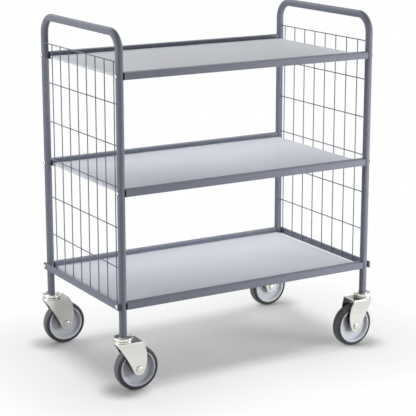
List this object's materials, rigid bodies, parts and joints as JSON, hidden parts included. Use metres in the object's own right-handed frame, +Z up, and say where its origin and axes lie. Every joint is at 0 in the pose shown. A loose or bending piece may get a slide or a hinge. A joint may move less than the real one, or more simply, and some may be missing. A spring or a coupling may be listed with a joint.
{
  "type": "office shelf trolley",
  "caption": "Shelf trolley on swivel castors: two tubular end frames with wire mesh carry three flat trays on box rails, with the frames' top bars as handles.",
  "frame": {"origin": "on the floor under the middle of the trolley", "axes": "+Z up, +X along the shelves to the right, -Y toward the long side that faces the viewer"},
  "size_m": [0.8576, 0.5184, 0.9888],
  "materials": {
    "grey_powder_coat": "satin grey powder coat on steel",
    "shelf_laminate": "light grey laminate, satin",
    "black_plastic": "moulded, matt",
    "zinc_steel": "bright zinc plate",
    "rim_plastic": "moulded, light blue grey",
    "grey_rubber": "moulded, matt dark grey"
  },
  "bodies": {
    "frame": {"end_frame_left": "grey_powder_coat", "mesh_left": "grey_powder_coat", "end_bar_left": "grey_powder_coat", "end_frame_right": "grey_powder_coat", "mesh_right": "grey_powder_coat", "end_bar_right": "grey_powder_coat", "panel_bottom": "shelf_laminate", "rail_bottom_front": "grey_powder_coat", "rail_bottom_back": "grey_powder_coat", "panel_middle": "shelf_laminate", "rail_middle_front": "grey_powder_coat", "rail_middle_back": "grey_powder_coat", "panel_top": "shelf_laminate", "rail_top_front": "grey_powder_coat", "rail_top_back": "grey_powder_coat", "plug_bottom_front_left": "black_plastic", "bolt_bottom_front_left": "zinc_steel", "plug_bottom_front_right": "black_plastic", "bolt_bottom_front_right": "zinc_steel", "plug_bottom_back_left": "black_plastic", "bolt_bottom_back_left": "zinc_steel", "plug_bottom_back_right": "black_plastic", "bolt_bottom_back_right": "zinc_steel", "plug_middle_front_left": "black_plastic", "bolt_middle_front_left": "zinc_steel", "plug_middle_front_right": "black_plastic", "bolt_middle_front_right": "zinc_steel", "plug_middle_back_left": "black_plastic", "bolt_middle_back_left": "zinc_steel", "plug_middle_back_right": "black_plastic", "bolt_middle_back_right": "zinc_steel", "plug_top_front_left": "black_plastic", "bolt_top_front_left": "zinc_steel", "plug_top_front_right": "black_plastic", "bolt_top_front_right": "zinc_steel", "plug_top_back_left": "black_plastic", "bolt_top_back_left": "zinc_steel", "plug_top_back_right": "black_plastic", "bolt_top_back_right": "zinc_steel", "castor_head_front_left": "zinc_steel", "castor_head_back_left": "zinc_steel", "castor_head_front_right": "zinc_steel", "castor_head_back_right": "zinc_steel"},
    "swivel_front_left": {"fork_front_left": "zinc_steel", "axle_front_left": "zinc_steel"},
    "wheel_front_left": {"rim_front_left": "rim_plastic", "tyre_front_left": "grey_rubber"},
    "swivel_back_left": {"fork_back_left": "zinc_steel", "axle_back_left": "zinc_steel"},
    "wheel_back_left": {"rim_back_left": "rim_plastic", "tyre_back_left": "grey_rubber"},
    "swivel_front_right": {"fork_front_right": "zinc_steel", "axle_front_right": "zinc_steel"},
    "wheel_front_right": {"rim_front_right": "rim_plastic", "tyre_front_right": "grey_rubber"},
    "swivel_back_right": {"fork_back_right": "zinc_steel", "axle_back_right": "zinc_steel"},
    "wheel_back_right": {"rim_back_right": "rim_plastic", "tyre_back_right": "grey_rubber"}
  },
  "joints": [
    {"name": "swivel_front_left", "type": "hinge", "parent": "frame", "child": "swivel_front_left", "pos_m": [-0.401, -0.23075, 0.1433], "axis": [0, 0, 1], "continuous": true},
    {"name": "roll_front_left", "type": "hinge", "parent": "swivel_front_left", "child": "wheel_front_left", "pos_m": [-0.36342, -0.23206, 0.0625], "axis": [0.0349, 0.9994, 0], "continuous": true},
    {"name": "swivel_back_left", "type": "hinge", "parent": "frame", "child": "swivel_back_left", "pos_m": [-0.401, 0.23075, 0.1433], "axis": [0, 0, 1], "continuous": true},
    {"name": "roll_back_left", "type": "hinge", "parent": "swivel_back_left", "child": "wheel_back_left", "pos_m": [-0.36345, 0.22878, 0.0625], "axis": [0.0523, 0.9986, 0], "continuous": true},
    {"name": "swivel_front_right", "type": "hinge", "parent": "frame", "child": "swivel_front_right", "pos_m": [0.401, -0.23075, 0.1433], "axis": [0, 0, 1], "continuous": true},
    {"name": "roll_front_right", "type": "hinge", "parent": "swivel_front_right", "child": "wheel_front_right", "pos_m": [0.36341, -0.23141, 0.0625], "axis": [0.0175, -0.9998, 0], "continuous": true},
    {"name": "swivel_back_right", "type": "hinge", "parent": "frame", "child": "swivel_back_right", "pos_m": [0.401, 0.23075, 0.1433], "axis": [0, 0, 1], "continuous": true},
    {"name": "roll_back_right", "type": "hinge", "parent": "swivel_back_right", "child": "wheel_back_right", "pos_m": [0.36341, 0.23009, 0.0625], "axis": [0.0175, -0.9998, 0], "continuous": true}
  ]
}
